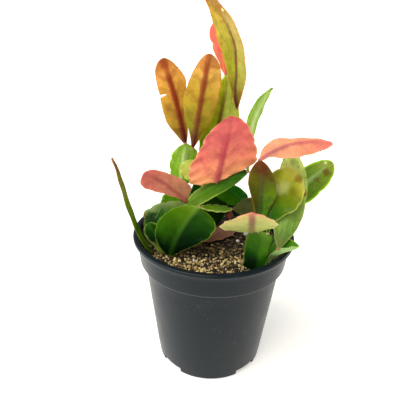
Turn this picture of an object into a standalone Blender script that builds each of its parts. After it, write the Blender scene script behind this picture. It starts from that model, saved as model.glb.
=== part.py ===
"""A potted rhipsalis: a black nursery pot, gritty soil, and shoots of flat, leaf-like stem joints.

The object stands on z = 0 with the pot's axis on z, and its front faces -y.
"""
import math

import bmesh
import bpy
import numpy as np
from mathutils import Matrix, Vector, noise

MM = 0.001
GAP = 0.3

# Pot, a 105 mm nursery pot, in millimetres.
POT_HEIGHT = 95.4
LIP_RADIUS = 52.5
LIP_WIDTH = 3.0
LIP_DEPTH = 2.8
COLLAR_TOP_RADIUS = 49.9
COLLAR_BOTTOM_RADIUS = 48.3
COLLAR_HEIGHT = 18.2
BODY_TOP_RADIUS = 45.2
BASE_RADIUS = 36.2
BASE_ROUNDING = 1.6
WALL = 1.4
FLOOR = 1.6
STEPS_ROUND = 48
NOTCHES = 4
NOTCH_WIDTH = 17.0
NOTCH_HEIGHT = 4.2
NOTCH_DEPTH = 5.0

# Soil, in millimetres.
SOIL_TOP = 85.0
SOIL_RELIEF = 0.8
SOIL_RING = 5.6
ROOT_LEVEL = 87.0
ROOT_DEPTH = 6.0
ROOT_RADIUS = 1.5
ROOT_SIDES = 10

# Joints, in millimetres.
MARGIN_THICKNESS = 1.0
MIDRIB_THICKNESS = 2.0
STALK_HALF_WIDTH = 0.9
AREOLE_RADIUS = 1.1
NECK_RADIUS = 0.8
STATIONS = (0.1, 0.3, 0.5, 0.7, 0.9)
TIP_STARTS = 0.82
TIP_HALF_WIDTH = 0.8
STALK_GAP = 0.6
COLUMNS = 4
ROWS_PER_LOBE = 3

# What a joint is like where its own line below says nothing.
PLAIN_JOINT = dict(stand=0, bow=0, sweep=0, peak=0.5, fold=0, cup=0, slant=(0, 0), lobes=5, notch=0.05)

# Every joint starts at a root in the soil (x, y) or at an areole of another joint (joint, how far
# along it from 0 to 1, how far across it from -1 to 1), and ends at its tip (x, y, z). facing is the
# compass bearing from the front and the elevation of its upper face, and left and right are the half
# widths at the stations, as seen from that face with the tip up. bow and sweep bend the midrib out
# of and within the blade, fold raises its two halves into a V, cup hollows it, and slant slides the
# left margin towards the stalk and the right one towards the tip. stand lifts its areole off the face
# of the joint that it grows from.
JOINTS = {
    "left_blade": dict(root=(-38.8, -17.6), tip=(-61, -12, 148), facing=(104, 16), left=(4, 6, 6.5, 6, 4),
                       right=(4, 6, 6.5, 6, 4), bow=-3, peak=0.35, notch=0.03),
    "front_round": dict(root=(-26.5, -21), tip=(-9.5, -12, 118), facing=(5, 40),
                        left=(7.5, 14, 14.5, 11.8, 6), right=(6, 14.5, 18, 17.7, 15.5), sweep=-2.8,
                        slant=(0, 0.3), fold=10, notch=0.045),
    "low_slim": dict(on=("front_round", 1, 0.5), tip=(11.5, -2, 112.5), facing=(0, 75),
                     left=(2, 3.5, 4, 3.5, 2), right=(2, 3.5, 4, 3.5, 2)),
    "red_bud": dict(on=("low_slim", 0.85, 1), tip=(9.4, -7, 109), facing=(0, 40),
                    left=(1, 1.5, 1.8, 1.6, 1), right=(1, 1.5, 1.8, 1.6, 1), lobes=2, notch=0),
    "low_grey": dict(on=("low_slim", 1, 0), tip=(40, 10, 108.5), facing=(0, 45), left=(3, 7, 8, 7, 4),
                     right=(3, 7, 8, 7, 4)),
    "right_back": dict(on=("low_grey", 1, 0), tip=(72.5, 14, 141), facing=(0, 40),
                       left=(5, 10, 10.5, 9, 5.5), right=(5, 10, 10.5, 9, 5.5)),
    "left_round": dict(root=(-33, -13.5), tip=(-20.6, -4.5, 117.5), facing=(-10, 50),
                       left=(8, 17.5, 20.5, 16.5, 9), right=(5, 8, 9, 9, 7), fold=6, notch=0.04),
    "left_small": dict(root=(-31.4, -18), tip=(-41.2, -10, 104.5), facing=(10, 45),
                       left=(1.3, 2.6, 4.4, 5.6, 5), right=(2, 3, 5.5, 5.5, 4.5)),
    "long_slant": dict(on=("left_round", 0.94, 1), tip=(19, -6, 140.4), facing=(-10, 40),
                       left=(3.4, 4.4, 4.3, 4.2, 3.2), right=(4, 5.4, 5.7, 5.3, 3.6), sweep=-1.8),
    "pink_left": dict(on=("long_slant", 0.07, -1), stand=0.6, tip=(-43, -14, 140), facing=(10, 50),
                      left=(2.4, 4.5, 7.8, 11, 9.5), right=(8, 10.5, 8.8, 7, 4.8), sweep=2.2, peak=0.6,
                      slant=(-0.35, -0.35)),
    "pink_front": dict(on=("long_slant", 0.545, -0.2), stand=3, tip=(9, -5, 173.5), facing=(0, 22),
                       left=(14.5, 19, 18, 14.5, 11.5), right=(6.5, 15, 16.5, 13.5, 7), sweep=2,
                       slant=(0.65, 0.4), lobes=6, notch=0.07),
    "lime_round": dict(on=("long_slant", 0.38, -1), tip=(-19.5, 2, 142), facing=(0, 30),
                       left=(3, 6, 7, 7.5, 6), right=(3, 6, 7, 7, 5)),
    "right_slim": dict(on=("long_slant", 1, 0), tip=(32.4, 22, 184.5), facing=(40, 20),
                       left=(2, 3.6, 4.2, 4, 2.2), right=(2, 3.6, 4.2, 4, 2.2), sweep=-7.5),
    "back_round": dict(root=(-26, 22), tip=(-23, 13, 119), facing=(0, 30), left=(6, 12, 13, 12, 8),
                       right=(6, 12, 13, 12, 8)),
    "back_crown": dict(on=("back_round", 1, 0), tip=(-19.5, 11, 150.5), facing=(0, 25),
                       left=(4, 8, 9, 8.5, 5.5), right=(4, 8, 9.5, 9.8, 8)),
    "orange_left": dict(on=("back_crown", 1, -0.8), tip=(-34.6, 18, 200.4), facing=(0, 15),
                        left=(4.2, 9, 9.2, 8.5, 7.4), right=(2.5, 4.5, 6.3, 9.2, 5.4), sweep=1.3),
    "orange_right": dict(on=("back_crown", 0.92, 0.85), tip=(-6.5, 9, 205.2), facing=(0, 15),
                         left=(2.5, 7.6, 11, 9, 6), right=(3.2, 8, 10.2, 10.2, 8)),
    "centre_base": dict(root=(2, 24), tip=(-9, 17, 127), facing=(0, 20), left=(5, 11, 12.5, 12, 8),
                        right=(5, 11, 12.5, 12, 8)),
    "centre_hanging": dict(on=("centre_base", 1, 0.3), tip=(22, 20, 106.5), facing=(0, 30),
                           left=(2, 4.5, 6, 6.5, 6), right=(3, 7, 7.5, 7, 6)),
    "centre_tall": dict(on=("centre_base", 0.97, 0.5), tip=(3.5, 22, 191.5), facing=(0, 15),
                        left=(5, 9, 11.5, 10, 5), right=(4.5, 9, 12, 11, 5.5), sweep=2, peak=0.6, lobes=6),
    "olive_tall": dict(on=("centre_tall", 0.66, 1), stand=2.5, tip=(-10, 5, 235), facing=(-31, 15),
                       left=(1.8, 5.5, 8, 8.6, 5), right=(3.5, 8, 7.6, 6.2, 5.2), sweep=9.2, peak=0.68,
                       fold=30, lobes=6, notch=0.03),
    "coral_back": dict(on=("centre_tall", 1, 0), tip=(-1.5, 26, 225.5), facing=(0, 10),
                       left=(2.8, 5, 7.4, 6.8, 3), right=(2.8, 5, 7, 6.5, 3), notch=0.2, lobes=4),
    "brown_lying": dict(root=(-8, -1), tip=(15, 17, 88.5), facing=(0, 88), left=(3, 6, 7, 6.5, 4),
                        right=(3, 6, 7, 6.5, 4), bow=1, lobes=4),
    "front_right": dict(root=(26.3, -33.5), tip=(27.5, -25, 110), facing=(5, 20),
                        left=(7.5, 8.4, 8.6, 8.3, 8), right=(4.4, 5.5, 6.2, 7.2, 7.8), lobes=4),
    "cream_leaning": dict(on=("front_right", 0.93, -1), tip=(20, -45, 132), facing=(3, -40),
                          left=(8.5, 16.3, 18.3, 15.5, 9), right=(6.5, 12.8, 14.8, 12.5, 8), fold=5,
                          notch=0.03),
    "red_upright": dict(on=("front_right", 0.97, -0.35), tip=(24.5, -18, 152), facing=(10, 15),
                        left=(1.5, 3.6, 6, 8.3, 7), right=(2, 6.6, 9, 8.2, 4.6), sweep=1.5, peak=0.7,
                        notch=0.03),
    "lime_bowl": dict(on=("front_right", 0.93, 0.9), tip=(49.8, -11.5, 141.2), facing=(0, 25),
                      left=(1.5, 3.5, 7.5, 12, 11), right=(2, 7.3, 12, 11, 7.2), sweep=-5, cup=0.2,
                      notch=0.03),
    "pink_right": dict(on=("red_upright", 1, 0), tip=(65.5, -12, 161), facing=(0, 50),
                       left=(8.4, 8.8, 5.4, 4.2, 3.5), right=(1.5, 6, 7.8, 7, 4.5), sweep=-4.5, bow=1.5,
                       fold=-20),
    "rim_dark": dict(root=(31, -24.5), tip=(37.3, -15, 102), facing=(15, 30), left=(2.5, 4.5, 5, 4.5, 3),
                     right=(2.5, 4.5, 5, 4.5, 3), lobes=3),
    "rim_boat": dict(root=(33, -27.8), tip=(49.8, -32, 105.5), facing=(0, 90), left=(1.2, 4, 8.5, 8.5, 5),
                     right=(1, 3, 6.5, 6, 3), fold=45, bow=3.2, peak=0.35, lobes=4, notch=0.04),
    "right_tall": dict(on=("rim_boat", 0.58, 1), tip=(44, 5, 153), facing=(0, 20), left=(5, 8, 8.5, 8, 4.5),
                       right=(3.6, 8.2, 9.8, 10, 6.5), sweep=4.5, bow=-4, peak=0.45, lobes=6),
}

# Each node is one shoot's joints of one colour, grown together: its members, colour and roughness.
SHOOTS = {
    "shoot_left_blade": (("left_blade",), (0.40, 0.48, 0.10), 0.5),
    "shoot_front_round": (("front_round", "low_slim", "low_grey", "right_back"), (0.16, 0.38, 0.06), 0.42),
    "bud_red": (("red_bud",), (0.45, 0.16, 0.14), 0.5),
    "shoot_left_round": (("left_round", "long_slant", "right_slim"), (0.24, 0.46, 0.08), 0.42),
    "shoot_left_small": (("left_small",), (0.12, 0.32, 0.05), 0.45),
    "joint_pink_left": (("pink_left",), (0.80, 0.42, 0.35), 0.5),
    "joint_pink_front": (("pink_front",), (0.93, 0.50, 0.42), 0.5),
    "joint_lime_round": (("lime_round",), (0.76, 0.80, 0.40), 0.5),
    "shoot_back": (("back_round", "back_crown"), (0.42, 0.62, 0.22), 0.45),
    "joint_orange_left": (("orange_left",), (0.80, 0.50, 0.15), 0.45),
    "joint_orange_right": (("orange_right",), (0.76, 0.56, 0.14), 0.45),
    "shoot_centre": (("centre_base", "centre_hanging", "centre_tall"), (0.34, 0.52, 0.10), 0.45),
    "joint_olive_tall": (("olive_tall",), (0.62, 0.60, 0.18), 0.45),
    "joint_coral_back": (("coral_back",), (0.94, 0.42, 0.40), 0.5),
    "joint_brown_lying": (("brown_lying",), (0.45, 0.29, 0.25), 0.6),
    "shoot_front_right": (("front_right",), (0.10, 0.30, 0.04), 0.42),
    "joint_cream_leaning": (("cream_leaning",), (0.76, 0.76, 0.42), 0.5),
    "joint_red_upright": (("red_upright",), (0.42, 0.28, 0.08), 0.45),
    "joint_lime_bowl": (("lime_bowl",), (0.58, 0.62, 0.14), 0.4),
    "joint_pink_right": (("pink_right",), (0.93, 0.54, 0.42), 0.5),
    "shoot_rim_dark": (("rim_dark",), (0.12, 0.24, 0.05), 0.5),
    "shoot_rim_boat": (("rim_boat", "right_tall"), (0.50, 0.62, 0.32), 0.5),
}


def unit(vector):
    vector = np.asarray(vector, float)
    return vector / np.linalg.norm(vector)


def compass(bearing, elevation):
    """The direction of a face that looks to this bearing, 0 to the front and 90 to the right."""
    b, e = math.radians(bearing), math.radians(elevation)
    return np.array([math.sin(b) * math.cos(e), -math.cos(b) * math.cos(e), math.sin(e)])


def midrib(joint, t):
    """The midrib's point at t, and the directions across the joint and out of its upper face."""
    run = joint["tip"] - joint["base"]
    along = unit(run)
    across = unit(np.cross(along, compass(*joint["facing"])))
    out = np.cross(across, along)
    peak = joint["peak"]
    near = min(peak, 1 - peak)
    swing = (t / peak) ** (peak / near) * ((1 - t) / (1 - peak)) ** ((1 - peak) / near)
    return joint["base"] + run * t + (out * joint["bow"] + across * joint["sweep"]) * swing, across, out


def half_width(joint, t, s, side):
    """Half the joint's width at t on one side: a narrow stalk, the stated stations, and a round tip."""
    stated = joint["left"] if side < 0 else joint["right"]
    stations = (0, *STATIONS, 1)
    widths = (STALK_HALF_WIDTH, *stated, stated[-1] - (stated[-2] - stated[-1]) / 2)
    k = min(len(STATIONS), max(i for i, station in enumerate(stations) if station <= t))
    slopes = np.gradient(widths, stations)
    span = stations[k + 1] - stations[k]
    u = (t - stations[k]) / span
    half = ((1 + 2 * u) * (1 - u) ** 2 * widths[k] + u * (1 - u) ** 2 * span * slopes[k]
            + u * u * (3 - 2 * u) * widths[k + 1] - u * u * (1 - u) * span * slopes[k + 1])
    rounding = math.sqrt(max(0.0, 1 - (max(0.0, t - TIP_STARTS) / (1 - TIP_STARTS)) ** 2))
    lobe = abs(math.sin(math.pi * joint["lobes"] * s))
    return max(TIP_HALF_WIDTH, half * rounding) * (1 - joint["notch"] * (1 - lobe) ** 2)


def surface_frame(joint, s, q):
    """A point of the joint's middle surface, s along it and q across it, and the way out of its face."""
    t = 0.5 * s + 0.25 * (1 - math.cos(math.pi * s))
    point, across, out = midrib(joint, t)
    step = 0.01
    tangent = unit(midrib(joint, min(1, t + step))[0] - midrib(joint, max(0, t - step))[0])
    across = unit(across - tangent * (across @ tangent))
    out = np.cross(across, tangent)
    reach = half_width(joint, t, s, q) * q
    slant = joint["slant"][0 if q < 0 else 1]
    fold = math.radians(joint["fold"]) * min(1, t / 0.2, (1 - t) / 0.1)
    lift = abs(reach) * math.sin(fold) + joint["cup"] * reach * q
    return point + across * reach * math.cos(fold) + out * lift + tangent * slant * reach, out


def surface_point(joint, s, q):
    return surface_frame(joint, s, q)[0]


def same_node(joint_name, other_name):
    """True where two joints are members of the same node."""
    return any(joint_name in members and other_name in members for members, _, _ in SHOOTS.values())


def grow_joints():
    """Fills in every joint's form and finds where it starts.

    A joint of its parent's colour starts at the parent's areole. A joint of another colour starts just
    clear of it.
    """
    for name, joint in JOINTS.items():
        for key, value in PLAIN_JOINT.items():
            joint.setdefault(key, value)
        joint["tip"] = np.array(joint["tip"], float)
        if "root" in joint:
            joint["base"] = np.array([*joint["root"], ROOT_LEVEL])
            continue
        parent, s, q = joint["on"]
        face, out = surface_frame(JOINTS[parent], s, q)
        joint["face"] = face
        joint["areole"] = face + out * joint["stand"]
        joint["base"] = joint["areole"]
        if not same_node(name, parent):
            joint["base"] = joint["base"] + unit(joint["tip"] - joint["base"]) * (AREOLE_RADIUS + STALK_GAP)


def plain_material(name, colour, roughness):
    material = bpy.data.materials.new(name)
    material.use_nodes = True
    shader = material.node_tree.nodes["Principled BSDF"]
    shader.inputs["Base Color"].default_value = (*colour, 1)
    shader.inputs["Roughness"].default_value = roughness
    shader.inputs["Metallic"].default_value = 0
    return material


def add_object(name, bm, collection):
    mesh = bpy.data.meshes.new(name)
    bm.to_mesh(mesh)
    bm.free()
    obj = bpy.data.objects.new(name, mesh)
    collection.objects.link(obj)
    return obj


def baked(obj):
    """Replaces an object's mesh with what its modifiers make of it."""
    bpy.context.view_layer.update()
    mesh = bpy.data.meshes.new_from_object(obj.evaluated_get(bpy.context.evaluated_depsgraph_get()))
    obj.modifiers.clear()
    obj.data = mesh
    return obj


def turned(name, profile, collection):
    """A solid turned from a profile in millimetres, given as (radius, height) down its outer side."""
    bm = bmesh.new()
    points = [bm.verts.new((r * MM, 0, z * MM)) for r, z in profile]
    for a, b in zip(points, points[1:]):
        bm.edges.new((a, b))
    obj = add_object(name, bm, collection)
    screw = obj.modifiers.new("Turn", "SCREW")
    screw.steps = STEPS_ROUND
    screw.render_steps = STEPS_ROUND
    screw.use_merge_vertices = True
    screw.merge_threshold = 0.00001
    return baked(obj)


def inner_radius(z):
    """The pot's inner radius at height z, which steps out at the collar."""
    step = POT_HEIGHT - COLLAR_HEIGHT
    if z > step + WALL:
        rise = (z - step) / COLLAR_HEIGHT
        return COLLAR_BOTTOM_RADIUS + (COLLAR_TOP_RADIUS - COLLAR_BOTTOM_RADIUS) * rise - WALL
    return BASE_RADIUS + (BODY_TOP_RADIUS - BASE_RADIUS) * z / step - WALL


def make_pot(parts, cutters):
    """The pot: a floor, a tapered wall, a wider collar for lifting and stacking, and a rolled lip."""
    step = POT_HEIGHT - COLLAR_HEIGHT
    lip_in = inner_radius(POT_HEIGHT)
    roll = LIP_DEPTH / 2
    profile = [(0, FLOOR), (inner_radius(FLOOR) - 1, FLOOR), (inner_radius(FLOOR + 1), FLOOR + 1),
               (inner_radius(step), step), (inner_radius(step + WALL + 0.1), step + WALL + 0.1),
               (inner_radius(POT_HEIGHT - 1), POT_HEIGHT - 1), (lip_in + 0.6, POT_HEIGHT)]
    for k in range(5):
        angle = math.radians(90 - 45 * k)
        profile.append((LIP_RADIUS - roll + roll * math.cos(angle),
                        POT_HEIGHT - roll + roll * math.sin(angle)))
    profile += [(COLLAR_TOP_RADIUS, POT_HEIGHT - LIP_DEPTH - 0.4), (COLLAR_BOTTOM_RADIUS, step + 0.6),
                (COLLAR_BOTTOM_RADIUS - 0.6, step), (BODY_TOP_RADIUS, step - 0.4)]
    for k in range(3):
        angle = math.radians(-45 * k)
        profile.append((BASE_RADIUS - BASE_ROUNDING * (1 - math.cos(angle)),
                        BASE_ROUNDING * (1 + math.sin(angle))))
    profile.append((0, 0))
    pot = turned("pot", profile, parts)

    for k in range(NOTCHES):
        bm = bmesh.new()
        bmesh.ops.create_cube(bm, size=1)
        size = (NOTCH_DEPTH * 2, NOTCH_WIDTH, NOTCH_HEIGHT * 2)
        bmesh.ops.scale(bm, vec=[v * MM for v in size], verts=bm.verts)
        bmesh.ops.translate(bm, vec=(BASE_RADIUS * MM, 0, 0), verts=bm.verts)
        turn = Matrix.Rotation(math.radians(360 / NOTCHES * (k + 0.5)), 3, "Z")
        bmesh.ops.rotate(bm, cent=(0, 0, 0), matrix=turn, verts=bm.verts)
        cutter = add_object("notch_cutter_%d" % k, bm, cutters)
        cutter.hide_render = True
        cutter.display_type = "WIRE"
        cut = pot.modifiers.new("Notch %d" % k, "BOOLEAN")
        cut.operation = "DIFFERENCE"
        cut.solver = "EXACT"
        cut.object = cutter
    baked(pot)
    for cutter in list(cutters.objects):
        bpy.data.objects.remove(cutter)
    pot.data.materials.append(plain_material("pot plastic", (0.045, 0.05, 0.055), 0.42))
    return pot


def make_soil(parts, cutters):
    """Gritty soil that fills the pot to a centimetre below its rim, with a plain hole for each root."""
    step = POT_HEIGHT - COLLAR_HEIGHT
    outer = inner_radius(SOIL_TOP) - GAP
    rings = int(outer / SOIL_RING)
    profile = [(outer * k / rings, SOIL_TOP) for k in range(rings + 1)]
    profile += [(inner_radius(step + WALL + 0.1) - GAP, step + WALL + 2 * GAP),
                (inner_radius(step) - GAP, step + WALL + GAP), (inner_radius(FLOOR + 2) - GAP, FLOOR + 2),
                (inner_radius(FLOOR) - 2, FLOOR + GAP), (0, FLOOR + GAP)]
    soil = turned("soil", profile, parts)
    for vertex in soil.data.vertices:
        radius = math.hypot(vertex.co.x, vertex.co.y)
        if abs(vertex.co.z - SOIL_TOP * MM) < 1e-6 and radius < (outer - 0.5) * MM:
            vertex.co.z += noise.noise(vertex.co * 190) * SOIL_RELIEF * MM
    for name, joint in JOINTS.items():
        if "root" not in joint:
            continue
        bm = bmesh.new()
        radius = (ROOT_RADIUS + GAP) * MM
        depth = (ROOT_DEPTH + GAP) * 2 * MM
        bmesh.ops.create_cone(bm, cap_ends=True, segments=ROOT_SIDES, radius1=radius, radius2=radius,
                              depth=depth)
        centre = (joint["base"][0] * MM, joint["base"][1] * MM, SOIL_TOP * MM)
        bmesh.ops.translate(bm, vec=centre, verts=bm.verts)
        add_object("root_hole_" + name, bm, cutters)
    drill = soil.modifiers.new("Root holes", "BOOLEAN")
    drill.operation = "DIFFERENCE"
    drill.solver = "EXACT"
    drill.operand_type = "COLLECTION"
    drill.collection = cutters
    baked(soil)
    for cutter in list(cutters.objects):
        bpy.data.objects.remove(cutter)
    soil.data.materials.append(plain_material("soil", (0.33, 0.25, 0.15), 0.95))
    return soil


def blade(name, joint, collection):
    """One joint: a thin sheet shaped along and across, made solid and thicker towards its midrib."""
    rows = ROWS_PER_LOBE * joint["lobes"]
    bm = bmesh.new()
    bmesh.ops.create_grid(bm, x_segments=COLUMNS, y_segments=rows, size=1)
    bmesh.ops.triangulate(bm, faces=bm.faces[:])
    weights = []
    for vertex in bm.verts:
        q, s = vertex.co.x, (vertex.co.y + 1) / 2
        vertex.co = Vector(surface_point(joint, s, q) * MM)
        weights.append((1 - abs(q)) ** 1.5 * min(1.0, 0.4 + 3 * s, 0.4 + 2 * (1 - s)))
    obj = add_object(name, bm, collection)
    group = obj.vertex_groups.new(name="thick")
    for index, weight in enumerate(weights):
        group.add([index], weight, "REPLACE")
    solid = obj.modifiers.new("Flesh", "SOLIDIFY")
    solid.thickness = MIDRIB_THICKNESS * MM
    solid.offset = 0
    solid.vertex_group = "thick"
    solid.thickness_vertex_group = MARGIN_THICKNESS / MIDRIB_THICKNESS
    return baked(obj)


def root(name, joint, collection):
    """The round foot that stands in the soil."""
    bm = bmesh.new()
    height = ROOT_LEVEL + 1.0 - (SOIL_TOP - ROOT_DEPTH)
    radius = ROOT_RADIUS * MM
    bmesh.ops.create_cone(bm, cap_ends=True, segments=ROOT_SIDES, radius1=radius, radius2=radius * 0.9,
                          depth=height * MM)
    centre = (joint["base"][0] * MM, joint["base"][1] * MM, (ROOT_LEVEL + 1.0 - height / 2) * MM)
    bmesh.ops.translate(bm, vec=centre, verts=bm.verts)
    return add_object("root_of_" + name, bm, collection)


def areole(name, joint, collection):
    """The small cushion from which a joint grows, on a short neck where it stands off the face."""
    neck = Vector((joint["areole"] - joint["face"]) * MM)
    if neck.length > AREOLE_RADIUS * MM:
        bm = bmesh.new()
        bmesh.ops.create_cone(bm, cap_ends=True, segments=8, radius1=NECK_RADIUS * MM,
                              radius2=NECK_RADIUS * MM, depth=neck.length)
        turn = Vector((0, 0, 1)).rotation_difference(neck).to_matrix()
        bmesh.ops.rotate(bm, cent=(0, 0, 0), matrix=turn, verts=bm.verts)
        bmesh.ops.translate(bm, vec=Vector(joint["face"] * MM) + neck / 2, verts=bm.verts)
        add_object("neck_of_" + name, bm, collection)
    bm = bmesh.new()
    bmesh.ops.create_uvsphere(bm, u_segments=8, v_segments=5, radius=AREOLE_RADIUS * MM)
    bmesh.ops.translate(bm, vec=Vector(joint["areole"] * MM), verts=bm.verts)
    return add_object("areole_of_" + name, bm, collection)


def make_shoot(name, members, colour, roughness, parts, pieces):
    """Joins a shoot's joints, their roots and the areoles on them into one body."""
    for member in members:
        joint = JOINTS[member]
        blade(member, joint, pieces)
        if "root" in joint:
            root(member, joint, pieces)
    for child, joint in JOINTS.items():
        if "on" in joint and joint["on"][0] in members:
            areole(child, joint, pieces)
    first, *rest = list(pieces.objects)
    pieces.objects.unlink(first)
    parts.objects.link(first)
    first.name = name
    first.data.name = name
    if rest:
        join = first.modifiers.new("Grown together", "BOOLEAN")
        join.operation = "UNION"
        join.solver = "EXACT"
        join.operand_type = "COLLECTION"
        join.collection = pieces
        baked(first)
    for piece in rest:
        bpy.data.objects.remove(piece)
    first.vertex_groups.clear()
    first.data.materials.clear()
    first.data.materials.append(plain_material(name + " skin", colour, roughness))
    return first


for old in list(bpy.data.objects):
    bpy.data.objects.remove(old)
plant_parts = bpy.data.collections.new("potted_rhipsalis")
bpy.context.scene.collection.children.link(plant_parts)
cutter_parts = bpy.data.collections.new("cutters")
bpy.context.scene.collection.children.link(cutter_parts)
loose_pieces = bpy.data.collections.new("loose pieces")
bpy.context.scene.collection.children.link(loose_pieces)

grow_joints()
make_pot(plant_parts, cutter_parts)
make_soil(plant_parts, cutter_parts)
for shoot_name, (shoot_members, shoot_colour, shoot_roughness) in SHOOTS.items():
    make_shoot(shoot_name, shoot_members, shoot_colour, shoot_roughness, plant_parts, loose_pieces)
for part_object in plant_parts.objects:
    part_object.data.shade_smooth()
    part_object.data.set_sharp_from_angle(angle=math.radians(35))
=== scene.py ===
"""A potted rhipsalis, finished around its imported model.

Flat, leaf-like stem joints grow from one another's areoles, in gritty soil in a black nursery pot.
"""
import math

import bmesh
import bpy
import numpy as np
from mathutils import Matrix, Vector, noise


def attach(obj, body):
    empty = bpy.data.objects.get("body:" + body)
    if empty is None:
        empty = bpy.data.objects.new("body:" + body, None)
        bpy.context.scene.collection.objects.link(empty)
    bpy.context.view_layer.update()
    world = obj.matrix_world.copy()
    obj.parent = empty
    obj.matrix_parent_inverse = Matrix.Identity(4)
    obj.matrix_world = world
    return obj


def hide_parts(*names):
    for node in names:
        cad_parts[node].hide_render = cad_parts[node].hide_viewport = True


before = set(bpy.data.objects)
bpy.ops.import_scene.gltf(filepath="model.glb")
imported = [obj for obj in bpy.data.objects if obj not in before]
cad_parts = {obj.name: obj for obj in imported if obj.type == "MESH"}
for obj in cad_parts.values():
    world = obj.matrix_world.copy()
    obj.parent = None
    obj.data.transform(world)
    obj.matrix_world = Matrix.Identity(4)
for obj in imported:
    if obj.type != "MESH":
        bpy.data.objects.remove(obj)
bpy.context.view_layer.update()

# The view: a camera a little above the plant and close to it, which looks down into the pot. Its
# lens has no shift, and its frame is square, as the photograph's is.
CAMERA_AWAY = 0.2645
CAMERA_UP = 0.242
LOOKS_DOWN = 0.4577
LOOKS_LEFT = 0.0164
ROLLED = 0.0333
FOCAL_PIXELS = 460
FRAME_PIXELS = 416
SENSOR_WIDTH = 36
NEAREST_SEEN = 0.01

camera_data = bpy.data.cameras.new("camera")
camera_data.sensor_width = SENSOR_WIDTH
camera_data.lens = SENSOR_WIDTH * FOCAL_PIXELS / FRAME_PIXELS
camera_data.clip_start = NEAREST_SEEN
camera = bpy.data.objects.new("camera", camera_data)
bpy.context.scene.collection.objects.link(camera)
camera.matrix_world = (Matrix.Translation((0, -CAMERA_AWAY, CAMERA_UP))
                       @ Matrix.Rotation(LOOKS_LEFT, 4, "Z")
                       @ Matrix.Rotation(math.pi / 2 - LOOKS_DOWN, 4, "X")
                       @ Matrix.Rotation(ROLLED, 4, "Z"))
bpy.context.scene.camera = camera

# The studio: a white floor that fills the photograph's frame, a grey surround, broad soft daylight
# from high at the left front, and a tall soft panel on either side, the left one brighter.
WARM_WHITE = (1, 0.98, 0.92)
SURROUND = 0.32
DAYLIGHT = 2.6
DAYLIGHT_FROM = (-0.5, -0.45, 1.0)
DAYLIGHT_SPREAD = 50
PANELS = {
    "left panel": dict(place=(-0.75, 0.0, 0.3), size=0.7, watts=4.2, tint=(0.95, 0.98, 1)),
    "right panel": dict(place=(0.8, 0.25, 0.3), size=0.6, watts=3.2, tint=(1, 0.95, 0.86)),
}
PANELS_FACE = (0, 0, 0.1)
FLOOR_SIZE = 12
FLOOR_GLOW = 0.42
FLOOR_COLOUR = (0.95, 0.93, 0.88, 1)

surround = bpy.data.worlds.new("surround")
surround.use_nodes = True
surround.node_tree.nodes["Background"].inputs["Color"].default_value = (*WARM_WHITE, 1)
surround.node_tree.nodes["Background"].inputs["Strength"].default_value = SURROUND
bpy.context.scene.world = surround
bpy.context.scene.view_settings.view_transform = "Standard"


def hung(lamp_data, tint, place, aim):
    """A tinted light at a place, aimed at a point."""
    lamp_data.color = tint
    lamp = bpy.data.objects.new(lamp_data.name, lamp_data)
    bpy.context.scene.collection.objects.link(lamp)
    lamp.location = place
    lamp.rotation_euler = (Vector(aim) - Vector(place)).to_track_quat("-Z", "Y").to_euler()


daylight = bpy.data.lights.new("daylight", "SUN")
daylight.energy = DAYLIGHT
daylight.angle = math.radians(DAYLIGHT_SPREAD)
hung(daylight, WARM_WHITE, DAYLIGHT_FROM, (0, 0, 0))
for panel_name, panel in PANELS.items():
    panel_data = bpy.data.lights.new(panel_name, "AREA")
    panel_data.size = panel["size"]
    panel_data.energy = panel["watts"]
    hung(panel_data, panel["tint"], panel["place"], PANELS_FACE)


def finish_named(name, roughness):
    """A new material with its tree and its shader."""
    material = bpy.data.materials.new(name)
    material.use_nodes = True
    tree = material.node_tree
    shader = tree.nodes["Principled BSDF"]
    shader.inputs["Roughness"].default_value = roughness
    return material, tree, shader


def piece(name, bm, material, smooth=True):
    """A piece made from a bmesh, with its place in its mesh."""
    mesh = bpy.data.meshes.new(name)
    bm.to_mesh(mesh)
    bm.free()
    obj = bpy.data.objects.new(name, mesh)
    bpy.context.scene.collection.objects.link(obj)
    mesh.materials.append(material)
    if smooth:
        mesh.shade_smooth()
    return obj


floor_finish, _, floor_shader = finish_named("floor white", roughness=0.6)
floor_shader.inputs["Base Color"].default_value = FLOOR_COLOUR
floor_shader.inputs["Emission Color"].default_value = (1, 1, 1, 1)
floor_shader.inputs["Emission Strength"].default_value = FLOOR_GLOW
floor_mesh = bmesh.new()
bmesh.ops.create_grid(floor_mesh, x_segments=1, y_segments=1, size=FLOOR_SIZE)
floor = piece("floor", floor_mesh, floor_finish)

# The pot is injection moulded in thin black plastic: a tapered body, a wider collar that stacks on
# the next pot, a rolled lip, and four drainage notches in the rim of its foot.
MM = 0.001
POT_HEIGHT = 95.4
LIP_RADIUS = 52.5
LIP_DEPTH = 2.8
COLLAR_TOP_RADIUS = 49.9
COLLAR_BOTTOM_RADIUS = 48.3
COLLAR_HEIGHT = 18.2
BODY_TOP_RADIUS = 45.2
BASE_RADIUS = 36.2
WALL = 1.2
POT_FLOOR = 1.6
FLOOR_BEVEL = 1
STEP_BEVEL = 0.5
LIP_ROUNDING_INSIDE = 0.8
UNDER_LIP = (0.5, 0.6)
COLLAR_STRAIGHT_ENDS = 0.9
COLLAR_ROUNDING = 0.7
STEP_FILLET = 0.6
BASE_ROUNDING = 1.6
POT_STEPS = 160
NOTCHES = 4
NOTCH_WIDTH = 17.0
NOTCH_HEIGHT = 4.2
NOTCH_DEPTH = 5.0
SMOOTH_UNDER = 40
DUST_A_METRE = 60
GRAIN_A_METRE = 1400
SPECKS_A_METRE = 800
BLACK = (0.003, 0.008, 0.013, 1)
DUSTY_BLACK = (0.01, 0.016, 0.021, 1)
SPECK_GREY = (0.14, 0.14, 0.13, 1)
# A thin pale ring just above the collar's step is a painted highlight along the collar's lower edge.
HIGHLIGHT_GREY = (0.07, 0.08, 0.085, 1)
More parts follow.
